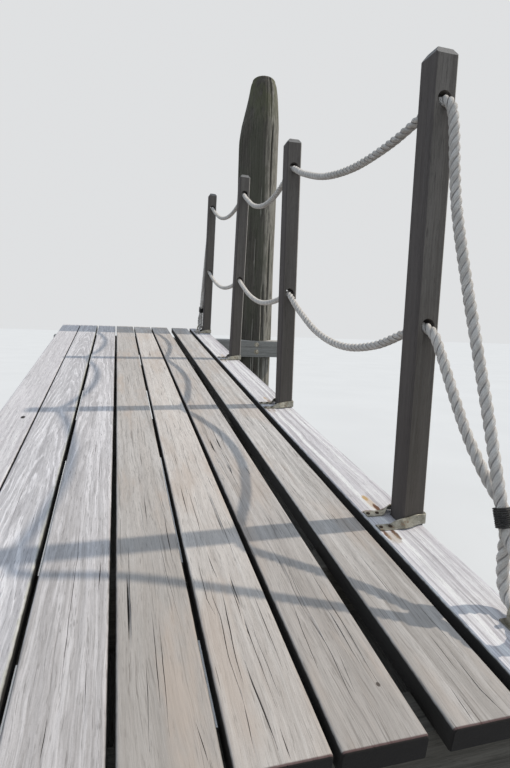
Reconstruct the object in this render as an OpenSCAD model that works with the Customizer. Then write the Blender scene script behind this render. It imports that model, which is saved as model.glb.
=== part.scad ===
// Wooden jetty with a rope handrail on one side.
// The deck climbs away from the near end, +Y runs along it, +X is the handrail side and z = 0 is the lowest ground.

/* [Deck] */
// Slope of the deck in degrees, rising along +Y
deck_slope = 7.57; // [0:0.01:10]
// Length of the deck boards
board_length = 4200; // [4100:10:4300]
// Width of one deck board
board_width = 145; // [120:1:145]
// Thickness of the deck boards
board_thickness = 45; // [30:1:50]
// Worn bevel along the long edges of the boards
board_bevel = 5; // [1:0.5:8]
// Height of the deck top above the ground at mid length
deck_height = 1028; // [900:1:1200]
// Outer edge of the deck on the handrail side
deck_right = 312; // [300:1:320]
// Gaps between the boards, from the left
board_gaps = [3, 10, 11, 10, 11, 41, 26];

/* [Handrail] */
// Side of the square posts
post_side = 67; // [60:1:70]
// Height of the posts above the deck
post_height = 1218; // [1150:5:1300]
// Places of the four posts along the deck
post_places = [-1493, -417, 677, 1837];
// Height of the upper rope holes above the deck
upper_hole_height = 1095; // [1090:1:1100]
// Height of the lower rope holes above the deck
lower_hole_height = 535; // [530:1:540]
// Diameter of the rope holes
rope_hole = 40; // [38:1:42]
// Diameter of the ropes
rope_diameter = 28; // [26:1:28]

/* [Straps] */
// Width of the steel strap at the foot of a post
strap_width = 28; // [20:1:30]
// Thickness of the strap
strap_thickness = 4; // [3:0.5:6]
// Length of the strap's arms that lie flat on the deck
strap_flat = 46; // [38:1:46]

/* [Rope eyes] */
// Bar diameter of the steel bows that hold the rope loops
eye_bar = 10; // [8:1:10]
// Radius of the bow, to the middle of its bar
eye_radius = 22; // [21:1:23]
// Thickness of the plate under a bow
eye_plate = 4; // [3:1:5]

/* [Substructure] */
// Thickness of the bearers under the boards
bearer_thickness = 75; // [60:1:80]
// Depth of the bearers
bearer_depth = 145; // [120:1:160]
// Half length of the far cross timber
cross_timber_half = 1000; // [980:5:1000]
// Thickness of the two stringers
stringer_thickness = 75; // [60:1:80]
// Depth of the stringers
stringer_depth = 195; // [150:1:200]
// Diameter of the legs
leg_diameter = 150; // [130:5:160]

/* [Mooring pile] */
// Diameter of the pile
pile_diameter = 365; // [340:1:370]
// Height of the pile
pile_height = 3550; // [3300:10:3800]
// Diameter at the weathered top
pile_top_diameter = 230; // [200:5:260]
// Length of the tapered top
pile_taper = 560; // [400:10:700]

/* [Hidden] */
$fn = 48;

deck_colour = "#b3aca3";
post_colour = "#6f655b";
dark_wood = "#5f564c";
pile_colour = "#6d6350";
steel_colour = "#8b8d8f";
rope_colour = "#ddd8cb";
seizing_colour = "#1c1b1a";

// Clearance where one timber is let into another
joint_gap = 1;
// Play of a post in the notch of the edge board
notch_gap = 1.5;
post_edge = 5;
// Gap between the deck and the strap's upright part
strap_lift = 2;
strap_play = 1;
strap_twist = 26;
// Distance from the top of a stringer down to the top of its legs
leg_top_drop = 15;
post_bevel_side = 12;
post_bevel_depth = 18;
// Shift of each post across the jetty, and its lean in degrees towards +X
post_shift = [3, -1, 5, 7];
post_lean = [-0.1, -0.5, 1.4, 1.25];
bearer_drop = board_thickness / cos(deck_slope);
bearer_height = bearer_depth / cos(deck_slope);
stringer_height = stringer_depth / cos(deck_slope);
stringer_drop = bearer_drop + bearer_height;
end_bearer_y = -2040;
// The left stringer lies under the middle gap, which is dark along its whole length
left_stringer_x = -506.5;
right_stringer_x = 76;
stringer_start = -2040;
stringer_end = 1900;
near_leg_y = -1750;
middle_leg_y = 30;
far_leg_y = 1600;
pile_x = 735;
pile_y = 1900;
pile_crown = 30;

// Seizings: bands that hold two rope parts side by side
seizing_length = 45;
seizing_wall = 4;
seizing_offset = 15;
seizing_bore = rope_diameter / 2 + 0.6;
seizing_tilt = 20;
near_seizing_turn = 43;
near_seizing_at = [275, -1847, 973];
far_seizing_at = [250, 1932, 1478];
near_eye_at = [278, -1906];
far_eye_at = [250, 1985];
eye_bow_height = 22;
eye_shank_below = 20;
eye_plate_size = [64, 30];

// Route of the upper rope: from the near seizing round the near eye, through the upper holes, to the far seizing
upper_route = [
    [285, -1837, 969],
    [285, -1845, 948],
    [283, -1850, 860],
    [281, -1866, 815],
    [278, -1906, 798.5],
    [275, -1946, 815],
    [271, -1961, 856],
    [268, -1947, 892],
    [266, -1914, 911],
    [265, -1886, 927],
    [265, -1868, 951],
    [265, -1849, 999],
    [271, -1790, 1150],
    [278, -1608, 1650],
    [280, -1566, 1868],
    [280, -1551, 1902],
    [280, -1527, 1919],
    [280, -1493, 1923],
    [277, -1291, 1898],
    [275, -1048, 1896],
    [272, -797, 1934],
    [270, -568, 2007],
    [268, -417, 2066],
    [271, -327, 2044],
    [279, -131, 2014],
    [288, 95, 2019],
    [297, 341, 2071],
    [306, 576, 2167],
    [310, 677, 2211],
    [310, 746, 2192],
    [310, 942, 2163],
    [310, 1170, 2164],
    [310, 1431, 2210],
    [310, 1693, 2306],
    [309, 1837, 2369],
    [309, 1869, 2362],
    [308, 1892, 2345],
    [306, 1906, 2310],
    [250, 1938, 1504],
    [250, 1946, 1483]
];

// Route of the lower rope: from the near seizing through the lower holes, round the far eye, to the far seizing
lower_route = [
    [285, -1836, 971],
    [285, -1829, 991],
    [281, -1777, 1042],
    [279, -1705, 1125.8],
    [281, -1585, 1302.9],
    [281, -1556, 1342],
    [281, -1527, 1358],
    [281, -1493, 1363],
    [280, -1419, 1343],
    [279, -1262, 1303],
    [277, -1038, 1289],
    [276, -797, 1333],
    [274, -577, 1426],
    [273, -417, 1506],
    [275, -327, 1490],
    [279, -131, 1476],
    [284, 95, 1486],
    [289, 341, 1536],
    [294, 556, 1609],
    [297, 677, 1651],
    [297, 756, 1638],
    [297, 963, 1626],
    [297, 1201, 1636],
    [297, 1462, 1684],
    [297, 1693, 1757],
    [297, 1837, 1809],
    [297, 1869, 1802],
    [296, 1893, 1785],
    [294, 1907, 1750],
    [250, 1910, 1494],
    [250, 1926, 1452],
    [250, 1929, 1371],
    [250, 1945, 1331],
    [250, 1985, 1315],
    [250, 2025, 1331],
    [250, 2041, 1371],
    [250, 2028, 1407],
    [250, 1995, 1426],
    [250, 1954, 1463],
    [250, 1947, 1481]
];
rope_sides = 8;

// Height of the deck top at a place along the jetty
function deck_z(y) = deck_height + y * tan(deck_slope);

// Sum of the gaps left of a board
function gaps_before(i) = i == 0 ? 0 : board_gaps[i - 1] + gaps_before(i - 1);

deck_width = 8 * board_width + gaps_before(7);
deck_left = deck_right - deck_width;

// Left edge of a board, counted from 0
function board_x(i) = deck_left + i * board_width + gaps_before(i);

// Middle of a post, counted from 1
function post_y(i) = post_places[i - 1];

function post_x(i) = deck_right - post_side / 2 + post_shift[i - 1];

// Near face of the bearer that a post is bolted to
function bearer_y(i) = post_y(i) - post_side / 2 - bearer_thickness;

function unit(v) = v / norm(v);

// Direction of a route at one of its points
function heading(route, i) =
    i == 0 ? unit(route[1] - route[0])
    : i == len(route) - 1 ? unit(route[i] - route[i - 1])
    : unit(unit(route[i + 1] - route[i]) + unit(route[i] - route[i - 1]));

// One ring of a tube's points, square to the route
function ring(route, i, radius, sides) =
    let (
        along = heading(route, i),
        side = unit([1, 0, 0] - along[0] * along),
        up = cross(along, side)
    )
    [for (k = [0 : sides - 1]) route[i] + radius * (cos(360 * k / sides) * side + sin(360 * k / sides) * up)];

// A tube swept along the points of a route
module tube(route, radius, sides) {
    last = len(route) - 1;
    points = [for (i = [0 : last]) each ring(route, i, radius, sides)];
    walls = [
        for (i = [0 : last - 1], k = [0 : sides - 1])
        [i * sides + k, i * sides + (k + 1) % sides, (i + 1) * sides + (k + 1) % sides, (i + 1) * sides + k]
    ];
    start_cap = [[for (k = [sides - 1 : -1 : 0]) k]];
    end_cap = [[for (k = [0 : sides - 1]) last * sides + k]];
    polyhedron(points = points, faces = concat(walls, start_cap, end_cap), convexity = 10);
}

// Section of a board, with worn long edges, its top at height 0
module board_section() {
    polygon([
        [board_bevel / 2, -board_thickness],
        [board_width - board_bevel / 2, -board_thickness],
        [board_width, -board_thickness + board_bevel / 2],
        [board_width, -board_bevel],
        [board_width - board_bevel, 0],
        [board_bevel, 0],
        [0, -board_bevel],
        [0, -board_thickness + board_bevel / 2]
    ]);
}

// A deck board, counted from 0 at the left edge
module deck_board(i) {
    color(deck_colour)
        translate([board_x(i), 0, deck_height])
            rotate([deck_slope, 0, 0])
                translate([0, -board_thickness / 2 * tan(deck_slope), 0])
                    rotate([90, 0, 0])
                        linear_extrude(height = board_length, center = true) board_section();
}

// The edge board has a notch round each post and holes for the two rope eyes
module notched_edge_board() {
    color(deck_colour)
        difference() {
            deck_board(7);
            for (at = [near_eye_at, far_eye_at], side = [-1, 1])
                translate([at[0] + side * eye_radius, at[1], deck_z(at[1])])
                    cylinder(h = 3 * board_thickness, d = eye_bar + 2 * joint_gap, center = true, $fn = 24);
            for (i = [1 : 4])
                translate([
                    post_x(i) - post_side / 2 - notch_gap,
                    post_y(i) - post_side / 2 - notch_gap,
                    deck_z(post_y(i)) - 2 * board_thickness
                ])
                    cube([post_side + 2 * notch_gap + 20, post_side + 2 * notch_gap, 3 * board_thickness]);
        }
}

// Square section with worn corners
module post_section() {
    h = post_side / 2;
    e = post_edge;
    polygon([
        [-h + e, -h], [h - e, -h], [h, -h + e], [h, h - e],
        [h - e, h], [-h + e, h], [-h, h - e], [-h, -h + e]
    ]);
}

// A handrail post: bolted to the far face of its bearer, with two rope holes along Y
module rail_post(i) {
    y = post_y(i);
    color(post_colour)
        translate([post_x(i), y, deck_z(y)])
            rotate([0, post_lean[i - 1], 0])
                difference() {
                    translate([0, 0, -stringer_drop])
                        linear_extrude(height = stringer_drop + post_height) post_section();
                    for (height = [lower_hole_height, upper_hole_height])
                        translate([0, 0, height])
                            rotate([90, 0, 0])
                                cylinder(h = 2 * post_side, d = rope_hole, center = true);
                    for (turn = [0 : 90 : 270])
                        translate([0, 0, post_height])
                            rotate([0, 0, turn])
                                translate([post_side / 2 - post_bevel_side, -post_side, 0])
                                    rotate([0, atan(post_bevel_depth / post_bevel_side), 0])
                                        cube([post_side, 2 * post_side, post_side / 2]);
                }
}

// A flat steel strap round the outer side of a post, its two arms twisted flat onto the edge board
module post_strap(i) {
    x = post_x(i);
    y = post_y(i);
    inner = post_side / 2 + strap_play;
    outer = inner + strap_thickness;
    upright_end = x - inner - 3;
    flat_start = upright_end - strap_twist;
    strap_top = strap_lift + strap_width;
    color(steel_colour) {
        cross_beam(x + inner, x + outer, y - outer, 2 * outer, -strap_top, strap_width);
        for (side = [-1, 1]) {
            arm_y = side < 0 ? y - outer : y + inner;
            flat_y = y + side * (inner + strap_thickness / 2);
            cross_beam(upright_end, x + inner, arm_y, strap_thickness, -strap_top, strap_width);
            hull() {
                cross_beam(upright_end, upright_end + 1, arm_y, strap_thickness, -strap_top, strap_width);
                flat_strap(flat_start - 1, 1, flat_y);
            }
            flat_strap(flat_start - strap_flat, strap_flat, flat_y);
        }
    }
}

// A stretch of strap lying flat on the deck
module flat_strap(x, length, y) {
    translate([x, y, deck_z(y)])
        rotate([deck_slope, 0, 0])
            translate([0, -strap_width / 2, 0])
                cube([length, strap_width, strap_thickness]);
}

// A plumb-sided timber across the jetty whose top and bottom follow the deck's slope
module cross_beam(x_start, x_end, y_near, thickness, drop, height) {
    y_far = y_near + thickness;
    translate([x_start, 0, 0])
        rotate([90, 0, 90])
            linear_extrude(height = x_end - x_start)
                polygon([
                    [y_near, deck_z(y_near) - drop - height],
                    [y_far, deck_z(y_far) - drop - height],
                    [y_far, deck_z(y_far) - drop],
                    [y_near, deck_z(y_near) - drop]
                ]);
}

module bearer(y_near) {
    color(dark_wood)
        cross_beam(deck_left, deck_right, y_near, bearer_thickness, bearer_drop, bearer_height);
}

// The far bearer runs past the deck on both sides and is let into the mooring pile
module cross_timber() {
    color(post_colour)
        cross_beam(-cross_timber_half, cross_timber_half, bearer_y(4), bearer_thickness, bearer_drop, bearer_height);
}

// A lengthwise stringer under the bearers
module stringer(x) {
    color(dark_wood)
        cross_beam(x - stringer_thickness / 2, x + stringer_thickness / 2, stringer_start,
            stringer_end - stringer_start, stringer_drop, stringer_height);
}

// A round leg, halved at its top so that the stringer sits on it and is bolted to its side
module leg(stringer_x, side, y) {
    x = stringer_x + side * stringer_thickness / 2;
    cut_start = side > 0 ? x - leg_diameter : x;
    color(dark_wood)
        difference() {
            translate([x, y, 0]) cylinder(h = deck_z(y) - stringer_drop - leg_top_drop, d = leg_diameter);
            cross_beam(cut_start, cut_start + leg_diameter, y - leg_diameter, 2 * leg_diameter,
                stringer_drop - leg_diameter, stringer_height + leg_diameter);
        }
}

// The mooring pile: a trunk with a weathered taper, notched for the cross timber
module mooring_pile() {
    r = pile_diameter / 2;
    top_r = pile_top_diameter / 2;
    shoulder = pile_height - pile_taper;
    color(pile_colour)
        difference() {
            translate([pile_x, pile_y, 0])
                rotate_extrude($fn = 64)
                    polygon([
                        [0, 0], [r, 0], [r, shoulder],
                        [top_r, pile_height - pile_crown], [top_r * 0.85, pile_height], [0, pile_height]
                    ]);
            cross_beam(0, cross_timber_half + 100, bearer_y(4) - 200, bearer_thickness + 200,
                bearer_drop - joint_gap, bearer_height + 2 * joint_gap);
        }
}

// A steel bow on a plate, bolted through the edge board, that a rope loop passes through
module rope_eye(at) {
    base = deck_z(at[1]);
    color(steel_colour)
        translate([at[0], at[1], base]) {
            rotate([deck_slope, 0, 0])
                translate([-eye_plate_size[0] / 2, -eye_plate_size[1] / 2, 0])
                    cube([eye_plate_size[0], eye_plate_size[1], eye_plate]);
            translate([0, 0, eye_bow_height])
                rotate([90, 0, 0])
                    rotate_extrude(angle = 180) translate([eye_radius, 0]) circle(d = eye_bar, $fn = 24);
            for (side = [-1, 1])
                translate([side * eye_radius, 0, -board_thickness - eye_shank_below])
                    cylinder(h = board_thickness + eye_shank_below + eye_bow_height, d = eye_bar, $fn = 24);
        }
}

// Outline round two rope parts side by side
module band_outline(radius) {
    square([2 * radius, 2 * seizing_offset], center = true);
    for (side = [-1, 1])
        translate([0, side * seizing_offset]) circle(r = radius);
}

// A band round two parallel rope parts
module seizing(at, tilt, turn) {
    color(seizing_colour)
        translate(at)
            rotate([tilt, 0, 0])
                rotate([0, 0, -turn])
                    linear_extrude(height = seizing_length, center = true)
                        difference() {
                            band_outline(seizing_bore + seizing_wall);
                            band_outline(seizing_bore);
                        }
}

module upper_rope() {
    color(rope_colour) tube(upper_route, rope_diameter / 2, rope_sides);
}

module lower_rope() {
    color(rope_colour) tube(lower_route, rope_diameter / 2, rope_sides);
}

deck_board(0);  // deck_board_1
deck_board(1);  // deck_board_2
deck_board(2);  // deck_board_3
deck_board(3);  // deck_board_4
deck_board(4);  // deck_board_5
deck_board(5);  // deck_board_6
deck_board(6);  // deck_board_7
notched_edge_board();  // deck_board_8
rail_post(1);  // rail_post_1
rail_post(2);  // rail_post_2
rail_post(3);  // rail_post_3
rail_post(4);  // rail_post_4
post_strap(1);  // post_strap_1
post_strap(2);  // post_strap_2
post_strap(3);  // post_strap_3
post_strap(4);  // post_strap_4
bearer(end_bearer_y);  // end_bearer
bearer(bearer_y(1));  // bearer_1
bearer(bearer_y(2));  // bearer_2
bearer(bearer_y(3));  // bearer_3
cross_timber();
stringer(left_stringer_x);  // left_stringer
stringer(right_stringer_x);  // right_stringer
leg(left_stringer_x, -1, near_leg_y);  // near_left_leg
leg(right_stringer_x, 1, near_leg_y);  // near_right_leg
leg(left_stringer_x, -1, middle_leg_y);  // middle_left_leg
leg(right_stringer_x, 1, middle_leg_y);  // middle_right_leg
leg(left_stringer_x, -1, far_leg_y);  // far_left_leg
leg(right_stringer_x, 1, far_leg_y);  // far_right_leg
mooring_pile();
rope_eye(near_eye_at);  // near_rope_eye
rope_eye(far_eye_at);  // far_rope_eye
seizing(near_seizing_at, -seizing_tilt, near_seizing_turn);  // near_seizing
seizing(far_seizing_at, seizing_tilt, 0);  // far_seizing
upper_rope();
lower_rope();
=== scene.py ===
import math
import random

import bmesh
import bpy
import numpy as np
from mathutils import Matrix, Vector, noise


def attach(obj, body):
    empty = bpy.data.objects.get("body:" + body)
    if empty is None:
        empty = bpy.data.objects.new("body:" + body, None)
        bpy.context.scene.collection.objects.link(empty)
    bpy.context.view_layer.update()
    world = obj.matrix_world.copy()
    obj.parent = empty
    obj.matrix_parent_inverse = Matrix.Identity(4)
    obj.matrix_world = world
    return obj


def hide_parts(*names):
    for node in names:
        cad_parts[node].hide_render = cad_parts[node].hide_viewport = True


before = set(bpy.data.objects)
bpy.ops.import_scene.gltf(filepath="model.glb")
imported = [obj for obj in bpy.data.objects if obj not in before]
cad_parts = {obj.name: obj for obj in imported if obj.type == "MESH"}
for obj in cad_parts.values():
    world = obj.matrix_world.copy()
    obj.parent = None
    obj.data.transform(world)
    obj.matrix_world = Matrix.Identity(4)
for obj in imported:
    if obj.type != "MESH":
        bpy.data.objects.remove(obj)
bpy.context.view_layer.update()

SLOPE = math.radians(7.57)
TAN = math.tan(SLOPE)
DECK_Z = 1.028
BOARD_W, BOARD_L, BOARD_T = 0.145, 4.2, 0.045
BOARD_X = [-0.960, -0.812, -0.657, -0.501, -0.346, -0.190, -0.004, 0.167]
POST_Y = [-1.493, -0.417, 0.677, 1.837]
POST_X = [0.2815, 0.2775, 0.2835, 0.2855]
POST_LEAN = [math.radians(a) for a in (-0.1, -0.5, 1.4, 1.25)]
POST_HALF = 0.0335
STRAP_HALF = 0.014
STRAP_MID = 0.0175
STRAP_BEND = 0.005
STRAP_END = -0.1093
BEARER_DROP = BOARD_T / math.cos(SLOPE)
BEARER_HIGH = 0.145 / math.cos(SLOPE)
STRINGER_DROP = BEARER_DROP + BEARER_HIGH
STRINGER_HIGH = 0.195 / math.cos(SLOPE)
ROPE_STEP = 0.006
ROPE_LAY = 0.079
STRAND_R = 0.0085
STRAND_OFF = 0.0055
PILE_AT = (0.735, 1.900)
PILE_TOP = 3.55
PILE_DOME = 3.502
PILE_DOME_R = 0.108
PILE_TAPER = 2.93
SWAY_X, SWAY_Y = 0.963, -0.266
TIMBER_Y = 1.766
TIMBER_BACK = 1.8045
TIMBER_FRONT = 1.7285
PILE_BACK = 2.066
LEG_BACK = 0.0725
PACKER = 0.075
CUT_CALM = 0.02
LEG_R = 0.075
LEGS = [(-0.5440, 1), (0.1135, -1)]
LEG_Y = [("near", -1.750), ("middle", 0.030), ("far", 1.600)]
EYES = (("near", (0.278, -1.906)), ("far", (0.250, 1.985)))
EYE_R = 0.022
CLEAR = 0.0005
UP = Vector((0, -math.sin(SLOPE), math.cos(SLOPE)))


def deck_z(y):
    return DECK_Z + y * TAN


def smooth(t):
    t = min(1.0, max(0.0, t))
    return t * t * (3 - 2 * t)


# ---- camera, solved from the photograph
SENSOR = 36
IMAGE_HIGH = 768
FOCAL_PX = 495.9
CAMERA_AT = (-0.50, -2.66, 1.35)
cam = bpy.data.cameras.new("camera")
cam.sensor_width = SENSOR
cam.lens = FOCAL_PX / IMAGE_HIGH * SENSOR
cam_obj = bpy.data.objects.new("camera", cam)
bpy.context.scene.collection.objects.link(cam_obj)
right = Vector((0.96318845, -0.26640863, 0.03597847))
down = Vector((0.00335255, -0.12192067, -0.99253419))
forward = Vector((0.26880619, 0.95611809, -0.11653943))
turned = Matrix((right, -down, -forward)).transposed().to_4x4()
cam_obj.matrix_world = Matrix.Translation(CAMERA_AT) @ turned
bpy.context.scene.camera = cam_obj


# ---- node graphs
class Graph:
    """A short way to write a material's nodes."""

    def __init__(self, name):
        self.mat = bpy.data.materials.new(name)
        self.mat.use_nodes = True
        self.tree = self.mat.node_tree
        self.tree.nodes.clear()
        self.shader = self.new("BsdfPrincipled")
        self.put(self.new("OutputMaterial").inputs["Surface"], self.shader.outputs["BSDF"])

    def new(self, kind):
        return self.tree.nodes.new("ShaderNode" + kind)

    def put(self, socket, value):
        if isinstance(value, bpy.types.NodeSocket):
            self.tree.links.new(value, socket)
        elif hasattr(socket.default_value, "__len__"):
            n = len(socket.default_value)
            socket.default_value = (list(value) + [1.0])[:n] if hasattr(value, "__len__") else [value] * n
        else:
            socket.default_value = value

    def at(self, vec, kind, **values):
        """A node that reads places from vec, with fixed values."""
        n = self.new(kind)
        self.put(n.inputs["Vector"], vec)
        for name, value in values.items():
            n.inputs[name].default_value = value
        return n

    def coords(self):
        return self.new("TexCoord").outputs["Object"]

    def normal(self):
        return self.split(self.new("NewGeometry").outputs["Normal"])

    def mapping(self, vec, loc=(0, 0, 0), rot=(0, 0, 0), scale=(1, 1, 1)):
        return self.at(vec, "Mapping", Location=loc, Rotation=rot, Scale=scale).outputs["Vector"]

    def noise(self, vec, scale, detail, rough=0.5):
        return self.at(vec, "TexNoise", Scale=scale, Detail=detail, Roughness=rough).outputs["Fac"]

    def grain(self, vec, scale, detail, rough, loc=(0, 0, 0)):
        """Noise stretched by its own scale along each axis."""
        return self.noise(self.mapping(vec, loc=loc, scale=scale), 1.0, detail, rough)

    def cells(self, vec, scale):
        return self.at(vec, "TexVoronoi", Scale=scale).outputs["Color"]

    def math(self, op, a, b=0.0):
        n = self.new("Math")
        n.operation = op
        for socket, value in zip(n.inputs, (a, b)):
            self.put(socket, value)
        return n.outputs[0]

    def plus(self, a, b):
        return self.math("ADD", a, b)

    def minus(self, a, b):
        return self.math("SUBTRACT", a, b)

    def times(self, a, b):
        return self.math("MULTIPLY", a, b)

    def ramp(self, value, a, b, lo=0.0, hi=1.0):
        """value between a and b becomes lo to hi, smoothly."""
        n = self.new("MapRange")
        n.interpolation_type = "SMOOTHSTEP"
        for name, v in (("Value", value), ("From Min", a), ("From Max", b), ("To Min", lo), ("To Max", hi)):
            self.put(n.inputs[name], v)
        return n.outputs[0]

    def mix(self, fac, a, b):
        n = self.new("Mix")
        n.data_type = "RGBA"
        self.put(n.inputs[0], fac)
        self.put(n.inputs[6], a)
        self.put(n.inputs[7], b)
        return n.outputs[2]

    def split(self, vec):
        n = self.new("SeparateXYZ")
        self.put(n.inputs[0], vec)
        return n.outputs

    def join(self, x, y, z):
        n = self.new("CombineXYZ")
        for socket, value in zip(n.inputs, (x, y, z)):
            self.put(socket, value)
        return n.outputs[0]

    def attribute(self, name):
        n = self.new("Attribute")
        n.attribute_name = name
        return n.outputs["Fac"]

    def bump(self, height, distance, strength):
        n = self.new("Bump")
        n.inputs["Strength"].default_value = strength
        n.inputs["Distance"].default_value = distance
        self.put(n.inputs["Height"], height)
        return n.outputs[0]

    def finish(self, color, rough, normal=None, metallic=0.0, specular=0.3):
        for name, value in (("Base Color", color), ("Roughness", rough), ("Metallic", metallic),
                            ("Specular IOR Level", specular), ("Normal", normal)):
            if value is not None:
                self.put(self.shader.inputs[name], value)
        return self.mat


# ---- ropes
UPPER = [
    (285, -1837, 969), (285, -1845, 948), (283, -1850, 860), (281, -1866, 815), (278, -1906, 798.5),
    (275, -1946, 815), (271, -1961, 856), (268, -1947, 892), (266, -1914, 911), (265, -1886, 927),
    (265, -1868, 951), (265, -1849, 999), (271, -1790, 1150), (278, -1608, 1650), (280, -1566, 1868),
    (280, -1551, 1902), (280, -1527, 1919), (280, -1493, 1923), (277, -1291, 1898), (275, -1048, 1896),
    (272, -797, 1934), (270, -568, 2007), (268, -417, 2066), (271, -327, 2044), (279, -131, 2014),
    (288, 95, 2019), (297, 341, 2071), (306, 576, 2167), (310, 677, 2211), (310, 746, 2192),
    (310, 942, 2163), (310, 1170, 2164), (310, 1431, 2210), (310, 1693, 2306), (309, 1837, 2369),
    (309, 1869, 2362), (308, 1892, 2345), (306, 1906, 2310), (250, 1938, 1504), (250, 1946, 1483),
]
LOWER = [
    (285, -1836, 971), (285, -1829, 991), (281, -1777, 1042), (279, -1705, 1125.8), (281, -1585, 1302.9),
    (281, -1556, 1342), (281, -1527, 1358), (281, -1493, 1363), (280, -1419, 1343), (279, -1262, 1303),
    (277, -1038, 1289), (276, -797, 1333), (274, -577, 1426), (273, -417, 1506), (275, -327, 1490),
    (279, -131, 1476), (284, 95, 1486), (289, 341, 1536), (294, 556, 1609), (297, 677, 1651),
    (297, 756, 1638), (297, 963, 1626), (297, 1201, 1636), (297, 1462, 1684), (297, 1693, 1757),
    (297, 1837, 1809), (297, 1869, 1802), (296, 1893, 1785), (294, 1907, 1750), (250, 1910, 1494),
    (250, 1926, 1452), (250, 1929, 1371), (250, 1945, 1331), (250, 1985, 1315), (250, 2025, 1331),
    (250, 2041, 1371), (250, 2028, 1407), (250, 1995, 1426), (250, 1954, 1463), (250, 1947, 1481),
]


def spline(points, step):
    """A centripetal curve through the points, with its own points step apart."""
    pts = [np.array(p, float) / 1000 for p in points]
    pts = [2 * pts[0] - pts[1]] + pts + [2 * pts[-1] - pts[-2]]
    out = []
    for i in range(1, len(pts) - 2):
        p = pts[i - 1:i + 3]
        t = [0.0]
        for a, b in zip(p, p[1:]):
            t.append(t[-1] + math.sqrt(np.linalg.norm(b - a)))
        n = max(2, int(np.linalg.norm(p[2] - p[1]) / 0.002))
        for k in range(n):
            u = t[1] + (t[2] - t[1]) * k / n
            a1 = (t[1] - u) / (t[1] - t[0]) * p[0] + (u - t[0]) / (t[1] - t[0]) * p[1]
            a2 = (t[2] - u) / (t[2] - t[1]) * p[1] + (u - t[1]) / (t[2] - t[1]) * p[2]
            a3 = (t[3] - u) / (t[3] - t[2]) * p[2] + (u - t[2]) / (t[3] - t[2]) * p[3]
            b1 = (t[2] - u) / (t[2] - t[0]) * a1 + (u - t[0]) / (t[2] - t[0]) * a2
            b2 = (t[3] - u) / (t[3] - t[1]) * a2 + (u - t[1]) / (t[3] - t[1]) * a3
            out.append((t[2] - u) / (t[2] - t[1]) * b1 + (u - t[1]) / (t[2] - t[1]) * b2)
    out.append(pts[-2])
    out = np.array(out)
    walk = np.concatenate([[0], np.cumsum(np.linalg.norm(np.diff(out, axis=0), axis=1))])
    count = int(round(walk[-1] / step))
    marks = np.linspace(0, walk[-1], count + 1)
    return np.stack([np.interp(marks, walk, out[:, k]) for k in range(3)], axis=1), walk[-1]


def frames_along(path):
    """Side and up of each point, carried along the path without twist."""
    tangent = np.gradient(path, axis=0)
    tangent /= np.linalg.norm(tangent, axis=1)[:, None]
    side = np.cross(tangent[0], (0.31, 0.2, 0.93))
    side /= np.linalg.norm(side)
    sides = []
    for t in tangent:
        side = side - t * side.dot(t)
        side /= np.linalg.norm(side)
        sides.append(side)
    sides = np.array(sides)
    return sides, np.cross(tangent, sides)


def link(name, data):
    obj = bpy.data.objects.new(name, data)
    bpy.context.scene.collection.objects.link(obj)
    return obj


def rounded(mesh, angle):
    """Smooth shading, with edges sharper than the angle kept sharp."""
    mesh.polygons.foreach_set("use_smooth", [True] * len(mesh.polygons))
    mesh.set_sharp_from_angle(angle=math.radians(angle))


def face_outward(mesh):
    bm = bmesh.new()
    bm.from_mesh(mesh)
    bmesh.ops.recalc_face_normals(bm, faces=bm.faces)
    bm.to_mesh(mesh)
    bm.free()


def new_mesh(name, verts, faces):
    mesh = bpy.data.meshes.new(name)
    mesh.from_pydata([tuple(v) for v in verts], [], faces)
    mesh.validate()
    mesh.update()
    mesh.polygons.foreach_set("use_smooth", [True] * len(mesh.polygons))
    return link(name, mesh)


def dress(obj, mat, node):
    """Gives a rigid piece its material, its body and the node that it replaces."""
    obj.data.materials.append(mat)
    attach(obj, "root")
    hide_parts(node)


def tube_faces(rings, sides, closed_ends=True):
    """Faces of a tube of equal rings, in the order ring by ring."""
    faces = []
    for a in range(0, (rings - 1) * sides, sides):
        for k in range(sides):
            q = (k + 1) % sides
            faces.append((a + k, a + q, a + sides + q, a + sides + k))
    if closed_ends:
        faces.append(tuple(range(sides - 1, -1, -1)))
        faces.append(tuple((rings - 1) * sides + k for k in range(sides)))
    return faces


def rope_mesh(name, points, seed):
    """A three-strand rope: one closed skin round three strands that wind about the path."""
    path, length = spline(points, ROPE_STEP)
    side, up = frames_along(path)
    rnd = random.Random(seed)
    wobble = [rnd.uniform(0, 6.28) for _ in range(2)]
    sides = 36
    verts, lay = [], []
    for i, p in enumerate(path):
        s = i * ROPE_STEP
        turn = 2 * math.pi * s / ROPE_LAY
        swell = 1 - 0.012 * (1 + math.sin(s * 31 + wobble[0])) - 0.01 * (1 + math.sin(s * 7.3 + wobble[1]))
        ends = min(s, length - s)
        swell *= 0.55 + 0.45 * smooth(ends / 0.004) if ends < 0.004 else 1
        for k in range(sides):
            a = 2 * math.pi * k / sides
            d = (a % (2 * math.pi / 3)) - math.pi / 3
            r = STRAND_OFF * math.cos(d) + math.sqrt(STRAND_R ** 2 - (STRAND_OFF * math.sin(d)) ** 2)
            q = a + turn
            tuft = 1 + 0.022 * noise.noise(Vector((s * 90, a * 2.2, seed)))
            verts.append(p + (side[i] * math.cos(q) + up[i] * math.sin(q)) * r * swell * tuft)
            lay.append((s, a, r))
    obj = new_mesh(name, verts, tube_faces(len(path), sides))
    for key, at in (("along", 0), ("angle", 1), ("depth", 2)):
        att = obj.data.attributes.new(key, "FLOAT", "POINT")
        att.data.foreach_set("value", [v[at] for v in lay])
    return obj, path, length


YARN_LAY = 0.060


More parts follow.
